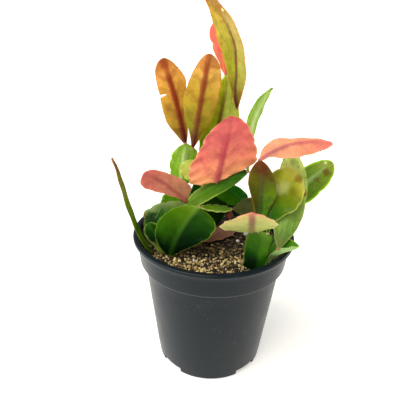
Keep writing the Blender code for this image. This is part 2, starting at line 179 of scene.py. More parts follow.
HIGHLIGHT_ABOVE_STEP = 0.5
HIGHLIGHT_WITHIN = (0.0006, 0.0002)
HIGHLIGHT_COVERS = 0.55
DUST_VARIES = (0.3, 0.7)
DUST_SHOWS = (0.55, 0.75)
DUST_COVERS = 0.5
SPECKS_SHOW = (0.56, 0.7)
POT_ROUGHNESS = (0.28, 0.4)
POT_REFLECTS = 0.21
POT_RELIEF = 0.00006


def arc(centre, radius, start, end, steps):
    """Points of an arc in a turned profile, by angle in degrees."""
    angles = [math.radians(start + (end - start) * k / steps) for k in range(steps + 1)]
    return [(centre[0] + radius * math.cos(a), centre[1] + radius * math.sin(a)) for a in angles]


def straight(start, end, steps):
    """Points of a straight run in a turned profile, after its start and before its end."""
    return [(start[0] + (end[0] - start[0]) * k / steps, start[1] + (end[1] - start[1]) * k / steps)
            for k in range(1, steps)]


def turn_profile(profile, steps):
    """A closed body turned from a profile in millimetres, given as (radius, height)."""
    bm = bmesh.new()
    points = [bm.verts.new((r * MM, 0, z * MM)) for r, z in profile]
    edges = [bm.edges.new(pair) for pair in zip(points, points[1:])]
    bmesh.ops.spin(bm, geom=points + edges, cent=(0, 0, 0), axis=(0, 0, 1), dvec=(0, 0, 0),
                   angle=math.tau, steps=steps, use_merge=True, use_duplicate=False)
    bmesh.ops.remove_doubles(bm, verts=bm.verts, dist=0.000001)
    bmesh.ops.recalc_face_normals(bm, faces=bm.faces)
    return bm


def pot_profile():
    """The pot's section: from the middle of its floor up its inner wall, over the lip and down."""
    step = POT_HEIGHT - COLLAR_HEIGHT
    roll = LIP_DEPTH / 2
    base_in = BASE_RADIUS - WALL
    collar_in = COLLAR_BOTTOM_RADIUS - WALL
    lip_in = COLLAR_TOP_RADIUS - WALL
    inner = [(0, POT_FLOOR), (base_in - FLOOR_BEVEL, POT_FLOOR), (base_in, POT_FLOOR + FLOOR_BEVEL)]
    inner += straight((base_in, 0), (BODY_TOP_RADIUS - WALL, step), 6)
    inner += [(BODY_TOP_RADIUS - WALL, step), (collar_in - STEP_BEVEL, step + WALL),
              (collar_in, step + WALL + STEP_BEVEL), (lip_in, POT_HEIGHT - WALL)]
    turn = LIP_ROUNDING_INSIDE
    inner += arc((lip_in + turn, POT_HEIGHT - turn), turn, 180, 90, 4)
    lip = arc((LIP_RADIUS - roll, POT_HEIGHT - roll), roll, 90, -60, 12)
    collar_top = (COLLAR_TOP_RADIUS, POT_HEIGHT - LIP_DEPTH - UNDER_LIP[1])
    collar = [(COLLAR_TOP_RADIUS + UNDER_LIP[0], POT_HEIGHT - LIP_DEPTH), collar_top]
    collar += straight(collar_top, (COLLAR_BOTTOM_RADIUS, step + COLLAR_STRAIGHT_ENDS), 4)
    turn = COLLAR_ROUNDING
    collar += arc((COLLAR_BOTTOM_RADIUS - turn, step + turn), turn, 0, -90, 5)
    turn = STEP_FILLET
    collar += arc((BODY_TOP_RADIUS + turn, step - turn), turn, 90, 180, 3)
    body = straight((BODY_TOP_RADIUS, step - STEP_FILLET), (BASE_RADIUS, 0), 8)
    turn = BASE_ROUNDING
    foot = arc((BASE_RADIUS - turn, turn), turn, 0, -90, 5)
    return inner + lip + collar + body + foot + [(0, 0)]


def node(tree, kind, sockets=(), **settings):
    """A shader node with its settings made and its sockets filled or joined."""
    new = tree.nodes.new(kind)
    for key, value in settings.items():
        setattr(new, key, value)
    for key, value in dict(sockets).items():
        if isinstance(value, bpy.types.NodeSocket):
            tree.links.new(value, new.inputs[key])
        else:
            new.inputs[key].default_value = value
    return new


def sums(tree, operation, *values):
    """The result of a Math node."""
    return node(tree, "ShaderNodeMath", dict(enumerate(values)), operation=operation).outputs[0]


def plus(tree, *values):
    """The sum of two values."""
    return sums(tree, "ADD", *values)


def times(tree, *values):
    """The product of two values."""
    return sums(tree, "MULTIPLY", *values)


def grained(tree, place, scale, detail, roughness=0.5):
    """A noise at this many grains a metre."""
    return node(tree, "ShaderNodeTexNoise", {"Vector": place, "Scale": scale, "Detail": detail,
                                             "Roughness": roughness}).outputs[0]


def ranged(tree, value, start, end, low, high):
    """Low where the value is at start and high where it is at end, evenly between."""
    return node(tree, "ShaderNodeMapRange", {0: value, 1: start, 2: end, 3: low, 4: high}).outputs[0]


def over(tree, amount, below, above):
    """One colour laid over another."""
    return node(tree, "ShaderNodeMix", {0: amount, 6: below, 7: above}, data_type="RGBA").outputs[2]


def coated(tree, shader, colour, height, strength, depth):
    """Gives the shader its colour, and its relief by height, with the depth in metres."""
    bump = node(tree, "ShaderNodeBump", {"Strength": strength, "Distance": depth, "Height": height})
    tree.links.new(colour, shader.inputs["Base Color"])
    tree.links.new(bump.outputs[0], shader.inputs["Normal"])


def pot_plastic():
    """Black polypropylene: satin, with a fine moulded grain, specks of dust and a painted highlight on the
    collar's edge.
    """
    material, tree, shader = finish_named("pot plastic", roughness=0.38)
    place = node(tree, "ShaderNodeTexCoord").outputs["Object"]
    dust = grained(tree, place, DUST_A_METRE, detail=6, roughness=0.7)
    grain = grained(tree, place, GRAIN_A_METRE, detail=2)
    specks = grained(tree, place, SPECKS_A_METRE, detail=3)
    height = node(tree, "ShaderNodeSeparateXYZ", {0: place}).outputs[2]
    # Painted highlight: a thin pale ring along the collar's lower edge, just above the step.
    off_step = sums(tree, "SUBTRACT", height, (POT_HEIGHT - COLLAR_HEIGHT + HIGHLIGHT_ABOVE_STEP) * MM)
    collar_highlight = ranged(tree, sums(tree, "ABSOLUTE", off_step), *HIGHLIGHT_WITHIN, 0, HIGHLIGHT_COVERS)
    dusty = ranged(tree, dust, *DUST_SHOWS, 0, DUST_COVERS)
    specked = times(tree, ranged(tree, specks, *SPECKS_SHOW, 0, 1), dusty)
    colour = over(tree, dusty, BLACK, DUSTY_BLACK)
    colour = over(tree, specked, colour, SPECK_GREY)
    colour = over(tree, collar_highlight, colour, HIGHLIGHT_GREY)
    coated(tree, shader, colour, grain, strength=0.25, depth=POT_RELIEF)
    shader.inputs["Specular IOR Level"].default_value = POT_REFLECTS
    tree.links.new(ranged(tree, dust, *DUST_VARIES, *POT_ROUGHNESS), shader.inputs["Roughness"])
    return material


def belongs(obj, node_name=None):
    """The piece rides on the one body, and may stand for a node."""
    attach(obj, "root")
    if node_name:
        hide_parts(node_name)


nursery_pot = piece("nursery_pot", turn_profile(pot_profile(), POT_STEPS), pot_plastic())
notch_mesh = bmesh.new()
for k in range(NOTCHES):
    made = bmesh.ops.create_cube(notch_mesh, size=1)["verts"]
    bmesh.ops.scale(notch_mesh, verts=made,
                    vec=(NOTCH_DEPTH * 2 * MM, NOTCH_WIDTH * MM, NOTCH_HEIGHT * 2 * MM))
    bmesh.ops.translate(notch_mesh, vec=(BASE_RADIUS * MM, 0, 0), verts=made)
    bmesh.ops.rotate(notch_mesh, cent=(0, 0, 0), verts=made,
                     matrix=Matrix.Rotation(math.radians((k + 0.5) * 360 / NOTCHES), 3, "Z"))
notches = piece("notches", notch_mesh, nursery_pot.data.materials[0])
cut = nursery_pot.modifiers.new("Drainage notches", "BOOLEAN")
cut.operation = "DIFFERENCE"
cut.solver = "EXACT"
cut.object = notches
bpy.context.view_layer.update()
nursery_pot.data = bpy.data.meshes.new_from_object(
    nursery_pot.evaluated_get(bpy.context.evaluated_depsgraph_get()))
nursery_pot.modifiers.clear()
nursery_pot.data.shade_smooth()
nursery_pot.data.set_sharp_from_angle(angle=math.radians(SMOOTH_UNDER))
bpy.data.objects.remove(notches)
belongs(nursery_pot, "pot")

# The soil is an open cactus mix: dark humus that fills the pot to a centimetre below the rim, with a
# loose layer of tan and gold grit on it, and a few white crumbs of perlite.
SOIL_TOP = 84.6
SOIL_RADIUS = 46.6
SOIL_CLEARANCE = 0.3
SOIL_SHOULDER = 7
SOIL_RINGS = 24
SOIL_STEPS = 96
SOIL_HEAVE = 0.9
HEAVES_WITHIN = 0.1
HEAVES_A_METRE = 45
SMALL_HEAVES_A_METRE = 150
SMALL_HEAVE = 0.45
HUMUS_STOPS = ((0, (7, 4.5, 3)), (0.5, (18, 13, 8)), (1, (36, 27, 16)))
HANDFULS = 38
GRAINS_A_HANDFUL = 250
GRAIN_RADII = (0.28, 1.15)
GRAIN_STANDS = (-0.3, 0.9)
GRIT_STOPS = ((0, (5, 3, 2)), (0.28, (17, 12, 7)), (0.5, (44, 34, 20)), (0.72, (72, 62, 38)),
              (0.9, (94, 87, 64)), (1, (62, 42, 22)))
# How far the grit is darkened towards the back of the pot: painted shade under the leaves.
DARK_AT_BACK = 0.56
PALE_STRAYS = 0.06
BACK_SHADE_STARTS = 22
BACK_SHADE_FADES = 44
CRUMB_SQUASH = (0.7, 1.25)
CRUMB_JAG = 0.12
CRUMB_RELIEF = 0.0002
SPECKS_STRAY = 0.25
GRIT_SEED = 7
PERLITE = ((22.4, 14.6), (16.1, 4.4), (-12, -22), (-30, 10), (8, 30), (33, 12), (-20, 33))
PERLITE_RADII = (1.87, 1.19, 1.19)
PERLITE_UP = 1.2
PERLITE_STOPS = ((0, (86, 86, 84)), (1, (97, 97, 96)))


def soil_heave(x, y):
    """How far the soil stands above or below its level at a place, in metres."""
    place = Vector((x, y, 0))
    small = noise.noise(place * SMALL_HEAVES_A_METRE)
    return (noise.noise(place * HEAVES_A_METRE) + SMALL_HEAVE * small) * SOIL_HEAVE * MM


def seen(percents):
    """A colour as the eye sees it, in percent, turned into the shader's linear values."""
    return tuple(((c / 100 + 0.055) / 1.055) ** 2.4 for c in percents) + (1,)


def ramp(tree, factor, stops):
    """A colour ramp with its stops given as (position, colour as seen)."""
    new = node(tree, "ShaderNodeValToRGB", {0: factor})
    elements = new.color_ramp.elements
    while len(elements) < len(stops):
        elements.new(1)
    for element, (position, colour) in zip(elements, stops):
        element.position = position
        element.color = seen(colour)
    return new.outputs[0]


def strayed(tree, value, by, most):
    """A value that strays by a noise, up and down by half of the most."""
    return plus(tree, value, sums(tree, "MULTIPLY_ADD", by, most, -most / 2))


def speckled(name, stops, roughness, grains):
    """A crumb's finish: each crumb takes its own colour from the stops, with finer specks on it."""
    material, tree, shader = finish_named(name, roughness)
    shade = node(tree, "ShaderNodeAttribute", attribute_name="shade").outputs["Fac"]
    specks = grained(tree, node(tree, "ShaderNodeTexCoord").outputs["Object"], grains, detail=3)
    colour = ramp(tree, strayed(tree, shade, specks, SPECKS_STRAY), stops)
    coated(tree, shader, colour, specks, strength=0.6, depth=CRUMB_RELIEF)
    return material


def crumbs(name, material, places, seed):
    """Crumbs fused into one piece. Each place is (x, y, z, radius) in mm, and how pale it may be."""
    draw = np.random.default_rng(seed)
    bm = bmesh.new()
    shade = bm.verts.layers.float.new("shade")
    for x, y, z, radius, palest in places:
        squash = Matrix.Diagonal((*draw.uniform(*CRUMB_SQUASH, 3), 1))
        turn = Matrix.Rotation(draw.uniform(0, math.tau), 4, Vector(draw.normal(size=3)))
        spot = Matrix.Translation((x * MM, y * MM, z * MM))
        made = bmesh.ops.create_icosphere(bm, subdivisions=1, radius=radius * MM,
                                          matrix=spot @ turn @ squash)
        value = draw.uniform() * palest
        for vert in made["verts"]:
            vert[shade] = value
            vert.co += Vector(draw.normal(size=3)) * radius * CRUMB_JAG * MM
    return piece(name, bm, material, smooth=False)


soil_profile = [(SOIL_RADIUS * k / SOIL_RINGS, SOIL_TOP) for k in range(SOIL_RINGS + 1)]
soil_profile += [(BODY_TOP_RADIUS - WALL - SOIL_CLEARANCE, SOIL_TOP - SOIL_SHOULDER),
                 (BASE_RADIUS - WALL - FLOOR_BEVEL - SOIL_CLEARANCE, POT_FLOOR + SOIL_CLEARANCE),
                 (0, POT_FLOOR + SOIL_CLEARANCE)]
bed_mesh = turn_profile(soil_profile, SOIL_STEPS)
for vert in bed_mesh.verts:
    if vert.co.z > (SOIL_TOP - HEAVES_WITHIN) * MM:
        vert.co.z += soil_heave(vert.co.x, vert.co.y)
soil_bed = piece("soil_bed", bed_mesh, speckled("humus", HUMUS_STOPS, roughness=0.95, grains=900))
belongs(soil_bed, "soil")

grit_draw = np.random.default_rng(GRIT_SEED)
grit_finish = speckled("grit", GRIT_STOPS, roughness=0.8, grains=1500)
grit_mesh = bmesh.new()
for scattered in range(HANDFULS):
    handful = []
    for grain in range(GRAINS_A_HANDFUL):
        radius = GRAIN_RADII[0] + (GRAIN_RADII[1] - GRAIN_RADII[0]) * grit_draw.uniform() ** 2
        from_middle = (SOIL_RADIUS - radius - SOIL_CLEARANCE) * math.sqrt(grit_draw.uniform())
        bearing = grit_draw.uniform(0, math.tau)
        x, y = from_middle * math.cos(bearing), from_middle * math.sin(bearing)
        # Grains further back may be less pale: painted shade where the soil lies under the leaves at the
        # back.
        pale = min(1, max(DARK_AT_BACK, (BACK_SHADE_STARTS - y) / BACK_SHADE_FADES))
        if grit_draw.uniform() < PALE_STRAYS:
            pale = 1
        handful.append((x, y, SOIL_TOP + radius * grit_draw.uniform(*GRAIN_STANDS), radius, pale))
    one_handful = crumbs("handful", grit_finish, handful, seed=scattered)
    grit_mesh.from_mesh(one_handful.data)
    bpy.data.objects.remove(one_handful)
for vert in grit_mesh.verts:
    vert.co.z += soil_heave(vert.co.x, vert.co.y)
belongs(piece("soil_grit", grit_mesh, grit_finish, smooth=False))

perlite_spots = [(x, y, SOIL_TOP + PERLITE_UP, PERLITE_RADII[k % len(PERLITE_RADII)], 1)
                 for k, (x, y) in enumerate(PERLITE)]
perlite_finish = speckled("perlite", PERLITE_STOPS, roughness=0.9, grains=1200)
belongs(crumbs("perlite", perlite_finish, perlite_spots, seed=5))

# Every joint is a flat stem that does the work of a leaf: fleshy along its midrib, thin at its
# margins, with shallow lobes, and a narrow stalk where it grew from another joint's areole or from
# the soil. Its form is a midrib from base to tip and half widths on either side of it.
ROOT_LEVEL = 87.0
MARGIN_THICKNESS = 0.9
MIDRIB_THICKNESS = 2.0
MIDRIB_RIDGE = 1.2
STALK_HALF_WIDTH = 0.9
TIP_HALF_WIDTH = 0.8
STATIONS = (0, 0.1, 0.3, 0.5, 0.7, 0.9, 1)
TIP_STARTS = 0.82
FOLD_OPENS = 0.2
FOLD_CLOSES = 0.1
ROUND_A_JOINT = 88
ALONG_A_JOINT = 104
TEMPLATE_CROWDING = 1.5
SWELL = 0.7
SWELL_SPACING = 7.5
SWELL_STARTS = 0.15
SWELL_SHIFT = 20
WAVE_SHIFT = 1.7
THIN_AT_ENDS = 0.4
RIDGE_FADES = 0.3
PLAIN_JOINT = dict(stand=0, bow=0, sweep=0, peak=0.5, fold=0, cup=0, slant=(0, 0), lobes=5, notch=0.05,
                   rib=0.25, ruffle=0.3, tear=None)

joints = {}


def unit(rows):
    """Vectors made one long."""
    rows = np.asarray(rows, float)
    return rows / np.linalg.norm(rows, axis=-1, keepdims=True)


def compass(bearing, elevation):
    """The direction of a face that looks to this bearing, 0 to the front and 90 to the right."""
    b, e = math.radians(bearing), math.radians(elevation)
    return np.array([math.sin(b) * math.cos(e), -math.cos(b) * math.cos(e), math.sin(e)])


def midrib(joint, t):
    """The midrib's points, and the directions across the joint and out of its upper face."""
    run = joint["tip"] - joint["base"]
    across = unit(np.cross(unit(run), compass(*joint["facing"])))
    out = np.cross(across, unit(run))
    peak = joint["peak"]
    near = min(peak, 1 - peak)
    t = np.clip(t, 0, 1)[:, None]
    swing = (t / peak) ** (peak / near) * ((1 - t) / (1 - peak)) ** ((1 - peak) / near)
    return joint["base"] + run * t + (out * joint["bow"] + across * joint["sweep"]) * swing, across, out


def one_half(stated, t):
    """Half the joint's width on one side: a narrow stalk, the stated widths and a round tip."""
    stations = np.array(STATIONS)
    widths = np.array((STALK_HALF_WIDTH, *stated, stated[-1] - (stated[-2] - stated[-1]) / 2))
    slopes = np.gradient(widths, stations)
    k = np.clip(np.searchsorted(stations, t, side="right") - 1, 0, len(stations) - 2)
    span = stations[k + 1] - stations[k]
    u = (t - stations[k]) / span
    half = ((1 + 2 * u) * (1 - u) ** 2 * widths[k] + u * (1 - u) ** 2 * span * slopes[k]
            + u * u * (3 - 2 * u) * widths[k + 1] - u * u * (1 - u) * span * slopes[k + 1])
    rounding = np.sqrt(np.clip(1 - (np.maximum(0, t - TIP_STARTS) / (1 - TIP_STARTS)) ** 2, 0, 1))
    return half * rounding


def half_width(joint, t, s, q):
    """Half the joint's width on the side that q is on, with its lobes and any tear."""
    half = np.where(q < 0, one_half(joint["left"], t), one_half(joint["right"], t))
    lobe = np.abs(np.sin(math.pi * joint["lobes"] * s))
    half = np.maximum(TIP_HALF_WIDTH, half) * (1 - joint["notch"] * (1 - lobe) ** 2)
    if joint["tear"]:
        at, side, depth, width = joint["tear"]
        half = half - depth * np.clip(1 - np.abs(t - at) / width, 0, 1) ** 0.6 * (q * side > 0)
    return half


def surface(joint, s, q):
    """Points of the joint's middle surface, the way out of its face, and where each point lies.

    s runs from 0 at the base to 1 at the tip, with its points closer at both ends, and q from -1 at
    the left margin to 1 at the right one.
    """
    s, q = np.broadcast_arrays(np.atleast_1d(np.asarray(s, float)), np.atleast_1d(np.asarray(q, float)))
    t = 0.5 * s + 0.25 * (1 - np.cos(math.pi * s))
    point, across, out = midrib(joint, t)
    step = 0.01
    tangent = unit(midrib(joint, t + step)[0] - midrib(joint, t - step)[0])
    across = unit(across - tangent * (tangent @ across)[:, None])
    out = np.cross(across, tangent)
    reach = half_width(joint, t, s, q) * q
    slant = np.where(q < 0, *joint["slant"])
    fold = math.radians(joint["fold"]) * np.minimum(1, np.minimum(t / FOLD_OPENS, (1 - t) / FOLD_CLOSES))
    lift = np.abs(reach) * np.sin(fold) + joint["cup"] * reach * q
    lift = lift + joint["ruffle"] * np.abs(q) ** 3 * np.sin(math.tau * joint["lobes"] * s + joint["bend"])
    point = (point + across * (reach * np.cos(fold))[:, None] + out * lift[:, None]
             + tangent * (slant * reach)[:, None])
    return point, out, t, reach


def grown(name, **form):
    """Notes a joint's form and finds where it starts: at a root, or at an areole of another joint.

    left and right are its half widths in mm, base to tip. Where right isn't stated, it is as left.
    """
    joint = {**PLAIN_JOINT, "right": form["left"], **form}
    joint["tip"] = np.array(joint["tip"], float)
    joint["bend"] = len(joints) * WAVE_SHIFT
    if "root" in joint:
        joint["base"] = np.array([*joint["root"], ROOT_LEVEL])
    else:
        parent, s, q = joint["on"]
        face, out, _, _ = surface(joints[parent], s, q)
        joint["base"] = face[0] + out[0] * joint["stand"]
    joints[name] = joint


template = bmesh.new()
bmesh.ops.create_uvsphere(template, u_segments=ROUND_A_JOINT, v_segments=ALONG_A_JOINT, radius=1)
template_mesh = bpy.data.meshes.new("joint template")
template.to_mesh(template_mesh)
template.free()
template_spots = np.array([vert.co for vert in template_mesh.vertices])
template_s = np.arccos(np.clip(-template_spots[:, 2], -1, 1)) / math.pi
bearing_round = np.arctan2(template_spots[:, 1], template_spots[:, 0])
template_q = np.sign(np.cos(bearing_round)) * np.abs(np.cos(bearing_round)) ** TEMPLATE_CROWDING
template_side = -np.sin(bearing_round)


def flesh(joint, s, q, reach):
    """Half the joint's thickness, which swells towards the midrib and rounds off at the margin."""
    swell = (1 - np.abs(q)) ** 1.5 * np.minimum(1, THIN_AT_ENDS + np.minimum(3 * s, 2 * (1 - s)))
    body = (MARGIN_THICKNESS + (MIDRIB_THICKNESS - MARGIN_THICKNESS) * swell) / 2
    rounding = np.clip(1 - np.abs(q) ** 8, 0, 1) ** 0.5
    ridge = joint["rib"] * np.exp(-(reach / MIDRIB_RIDGE) ** 2) * np.minimum(1, (1 - s) / RIDGE_FADES)
    return body * rounding + ridge


def blade(name, node_name, slot_name, along, **look):
    """The joint's fine surface: a closed skin drawn over its middle surface, with ribs and lobes."""
    joint = joints[name]
    s, q, side = template_s, template_q, template_side
    middle, out, t, reach = surface(joint, s, q)
    length = np.linalg.norm(joint["tip"] - joint["base"])
    spread = reach / np.where(np.abs(q) < 1e-6, 1, q)
    thick = flesh(joint, s, q, reach)
    places = middle + joint["bend"] * SWELL_SHIFT
    swell = np.array([noise.noise(Vector(spot) / SWELL_SPACING) for spot in places])
    pucker = SWELL * swell * (1 - np.abs(q) ** 4) * np.minimum(1, s / SWELL_STARTS)
    points = middle + out * (thick * side / np.maximum(0.2, np.abs(side)) ** 0.6 + pucker)[:, None]
    mesh = template_mesh.copy()
    mesh.name = name
    mesh.vertices.foreach_set("co", (points * MM).ravel())
    place = mesh.attributes.new("place", "FLOAT_VECTOR", "POINT")
    place.data.foreach_set("vector", np.stack([q, t, side], 1).ravel())
    span = mesh.attributes.new("span", "FLOAT_VECTOR", "POINT")
    margin = np.abs(spread) * (1 - np.abs(q))
    span.data.foreach_set("vector", np.stack([reach, margin, t * length], 1).ravel())
    mesh.materials.append(skin(name.replace("_", " ") + " skin", along, **look))
    mesh.shade_smooth()
    obj = bpy.data.objects.new(name, mesh)
    bpy.context.scene.collection.objects.link(obj)
    belongs(obj, node_name)


CLOUDS = 110
PATCHES = 200
TISSUE = 420
PORES = 1600
COLOURS_STRAY = 0.3
GLOSS_STRAYS = 0.2
CLOUDS_SHADE = 1.6
PORES_SHADE = 0.8
PORES_STAND = 0.15
VEINS_SINK = 0.3
PATCHES_SHOW = (0.48, 0.72)
STREAK_ACROSS = 1.1
STREAK_ALONG = 0.14
STREAKS_SHOW = (0.46, 0.66)
HALVES_BLEND = (-1.0, 1.8)
HALVES_STRAY = 3.0
VEINS_LEAN = 0.8
VEINS_SHOW = (-0.2, 1.0)
VEINS_FADE = (12.0, 1.0)
VEINS_MEET_EDGE = (0.3, 2.5)
VEINS_STRAY = 9.0
EDGE_STRAYS = 1.2
EDGE_STRENGTH = 0.85
EDGE_FULL_WITHIN = 0.1
RIB_STRAYS = 0.8
RIB_CORE = 0.2
RIB_TAPERS = (0.15, 0.3)
UNDER_BLENDS = 0.1
MARKS_RAGGED = 1.3
MARKS_SHRINK = 1.17
MARKS_CORE = 0.3
TISSUE_RAGGED = 0.8
SKIN_RELIEF = 0.0005
INNER_GLOW = 0.35
GLOW_DEPTH = 0.0014
GLOW_TINT = (1.0, 0.8, 0.35)


def fade(tree, value, start, end, most=1.0):
    """0 where the value is at start and most where it is at end, smoothly between."""
    return node(tree, "ShaderNodeMapRange", {0: value, 1: start, 2: end, 4: most},
                interpolation_type="SMOOTHSTEP").outputs[0]


def tint(tree, factor, colours):
    """A plain colour, or a ramp along the factor where the colours are given as stops."""
    return ramp(tree, factor, colours) if isinstance(colours[0], tuple) else seen(colours)


def skin(name, along, right=None, rib=None, rib_width=1.1, rib_depth=0.85, rib_ends=0.9, edge=None,
         edge_width=0.9, mottle=None, mottled=0.5, streak=None, streaked=0.5, under=None, marks=(),
         gloss=0.45, bends_light=1.2, veins=0.1, vein_spacing=9, lively=0.3):
    """A joint's skin: colours along it, a midrib, margins, faint side veins, mottling and marks.

    Colours are in percent, as the eye sees them. along and right are colour stops from base to tip,
    right for the half on the viewer's right. rib and edge are colours, or stops too. A mark is (mm
    from the midrib, mm from the base, radius in mm, colour, strength).
    """
    material, tree, shader = finish_named(name, gloss)
    place = node(tree, "ShaderNodeAttribute", attribute_name="place").outputs["Vector"]
    _, t, side = node(tree, "ShaderNodeSeparateXYZ", {0: place}).outputs
    span = node(tree, "ShaderNodeAttribute", attribute_name="span").outputs["Vector"]
    from_rib, from_edge, up_rib = node(tree, "ShaderNodeSeparateXYZ", {0: span}).outputs
    spot = node(tree, "ShaderNodeTexCoord").outputs["Object"]
    cloud = grained(tree, spot, CLOUDS, detail=4)
    tissue = grained(tree, spot, TISSUE, detail=4)
    pores = grained(tree, spot, PORES, detail=2)
    off_rib = sums(tree, "ABSOLUTE", from_rib)

    uneven = strayed(tree, t, cloud, COLOURS_STRAY)
    colour = ramp(tree, uneven, along)
    if right:
        on_right = fade(tree, strayed(tree, from_rib, cloud, HALVES_STRAY), *HALVES_BLEND)
        colour = over(tree, on_right, colour, ramp(tree, uneven, right))
    if mottle:
        patches = grained(tree, spot, PATCHES, detail=6, roughness=0.65)
        colour = over(tree, fade(tree, patches, *PATCHES_SHOW, mottled), colour, seen(mottle))
    if streak:
        drawn = node(tree, "ShaderNodeCombineXYZ", {0: times(tree, from_rib, STREAK_ACROSS),
                                                    1: times(tree, up_rib, STREAK_ALONG), 2: side})
        streaks = grained(tree, drawn.outputs[0], 1, detail=4)
        colour = over(tree, fade(tree, streaks, *STREAKS_SHOW, streaked), colour, seen(streak))

    rib_colour = tint(tree, t, rib or along[0][1])
    slope = sums(tree, "MULTIPLY_ADD", off_rib, -VEINS_LEAN, up_rib)
    phase = sums(tree, "MULTIPLY_ADD", cloud, VEINS_STRAY, times(tree, slope, math.tau / vein_spacing))
    vein = times(tree, fade(tree, sums(tree, "SINE", phase), *VEINS_SHOW), fade(tree, off_rib, *VEINS_FADE))
    vein = times(tree, vein, fade(tree, from_edge, *VEINS_MEET_EDGE))
    colour = over(tree, times(tree, vein, veins), colour, rib_colour)
    if edge:
        frayed = strayed(tree, from_edge, tissue, EDGE_STRAYS)
        rimmed = fade(tree, frayed, edge_width, EDGE_FULL_WITHIN, EDGE_STRENGTH)
        colour = over(tree, rimmed, colour, tint(tree, t, edge))
    if rib:
        frayed = strayed(tree, off_rib, tissue, RIB_STRAYS)
        ribbed = fade(tree, frayed, rib_width, rib_width * RIB_CORE)
        tapered = fade(tree, t, rib_ends + RIB_TAPERS[0], rib_ends - RIB_TAPERS[1], rib_depth)
        colour = over(tree, times(tree, ribbed, tapered), colour, rib_colour)
    if under:
        colour = over(tree, fade(tree, side, UNDER_BLENDS, -UNDER_BLENDS), colour, seen(under))
    ragged = sums(tree, "MULTIPLY_ADD", tissue, TISSUE_RAGGED, cloud)
    for across_mm, along_mm, radius, mark_colour, strength in marks:
        to_side = sums(tree, "SUBTRACT", from_rib, across_mm)
        to_end = sums(tree, "SUBTRACT", up_rib, along_mm)
        away = sums(tree, "SQRT", plus(tree, times(tree, to_side, to_side), times(tree, to_end, to_end)))
        away = plus(tree, away, sums(tree, "MULTIPLY_ADD", ragged, radius * MARKS_RAGGED,
                                     -radius * MARKS_SHRINK))
        marked = fade(tree, away, radius, radius * MARKS_CORE, strength)
        colour = over(tree, marked, colour, seen(mark_colour))

    shade = plus(tree, times(tree, cloud, lively * CLOUDS_SHADE), times(tree, tissue, lively))
    shade = plus(tree, shade, times(tree, pores, lively * PORES_SHADE))
    shade = plus(tree, shade, 1 - lively * (CLOUDS_SHADE + 1 + PORES_SHADE) / 2)
    colour = node(tree, "ShaderNodeHueSaturation", {"Value": shade, "Color": colour}).outputs[0]
    height = plus(tree, times(tree, pores, PORES_STAND), times(tree, vein, -VEINS_SINK))
    coated(tree, shader, colour, plus(tree, height, tissue), strength=0.5, depth=SKIN_RELIEF)
    rough = strayed(tree, gloss, cloud, GLOSS_STRAYS)
    tree.links.new(rough, shader.inputs["Roughness"])
    shader.inputs["IOR"].default_value = bends_light
    shader.inputs["Subsurface Weight"].default_value = INNER_GLOW
    shader.inputs["Subsurface Radius"].default_value = GLOW_TINT
    shader.inputs["Subsurface Scale"].default_value = GLOW_DEPTH
    return material


# The joint at the far left stands edge on to the front: a long narrow blade that leans out over the
# rim, yellow-green with a brown near margin, darker at its foot and dry brown at its tip.
grown("left_blade", root=(-38.8, -17.6), tip=(-61, -12, 148), facing=(95, 16), left=(4, 6, 6.5, 6, 4),
      bow=-2.4, peak=0.35, notch=0.03, ruffle=0.15)
blade("left_blade", "shoot_left_blade", "olive_skin",
      ((0, (12, 30, 0)), (0.35, (33, 49, 5)), (0.6, (51, 61, 15)), (0.82, (52, 52, 16)),
       (0.9, (50, 34, 20)), (1, (60, 42, 28))),
      edge=((0, (40, 50, 10)), (0.5, (56, 54, 16)), (0.8, (64, 42, 18)), (1, (60, 42, 24))),
      edge_width=1.2, rib=(34, 50, 10), rib_width=1.6, rib_depth=0.5, bends_light=1.08)

# The front shoot starts with the round dark joint by the left rim. Three more grow on from its tip,
# low across the soil behind the leaning joint, and the last stands up over the right rim. A red bud
# is breaking from the second of them.
grown("front_round", root=(-26.5, -21), tip=(-9.5, -12, 118), facing=(5, 40),
      left=(7.5, 14, 14.5, 11.8, 6), right=(6, 14.5, 18, 17.7, 15.5), sweep=-2.8, slant=(0, 0.3),
      fold=10, notch=0.045)
blade("front_round", "shoot_front_round", "dark_green_skin",
      ((0, (0, 3, 0)), (0.2, (0, 12, 0)), (0.45, (19, 38, 0)), (0.8, (30, 46, 2)), (1, (44, 56, 16))),
      right=((0, (0, 3, 0)), (0.4, (0, 13, 0)), (0.75, (9, 26, 0)), (1, (22, 38, 4))),
      rib=((0, (4, 20, 0)), (0.5, (24, 42, 10)), (1, (42, 56, 22))), rib_width=2.6, rib_depth=0.6,
      edge=(44, 60, 12), edge_width=0.7, gloss=0.42, bends_light=1.14, veins=0.05)

grown("low_slim", on=("front_round", 1, 0.5), tip=(11.5, -2, 112.5), facing=(0, 75),
      left=(2, 3.5, 4, 3.5, 2))
blade("low_slim", "shoot_front_round", "dark_green_skin", ((0, (30, 44, 3)), (1, (36, 50, 8))),
      edge=(66, 74, 38), edge_width=1.3, mottle=(20, 36, 2))

grown("red_bud", on=("low_slim", 0.85, 1), tip=(9.4, -7, 109), facing=(0, 40),
      left=(1, 1.5, 1.8, 1.6, 1), lobes=2, notch=0, rib=0, ruffle=0)
blade("red_bud", "bud_red", "red_skin", ((0, (30, 10, 7)), (1, (50, 24, 16))))

grown("low_grey", on=("low_slim", 1, 0), tip=(40, 10, 108.5), facing=(0, 45), left=(3, 7, 8, 7, 4))
blade("low_grey", "shoot_front_round", "dark_green_skin", ((0, (28, 30, 14)), (1, (33, 38, 20))),
      mottle=(30, 20, 12))

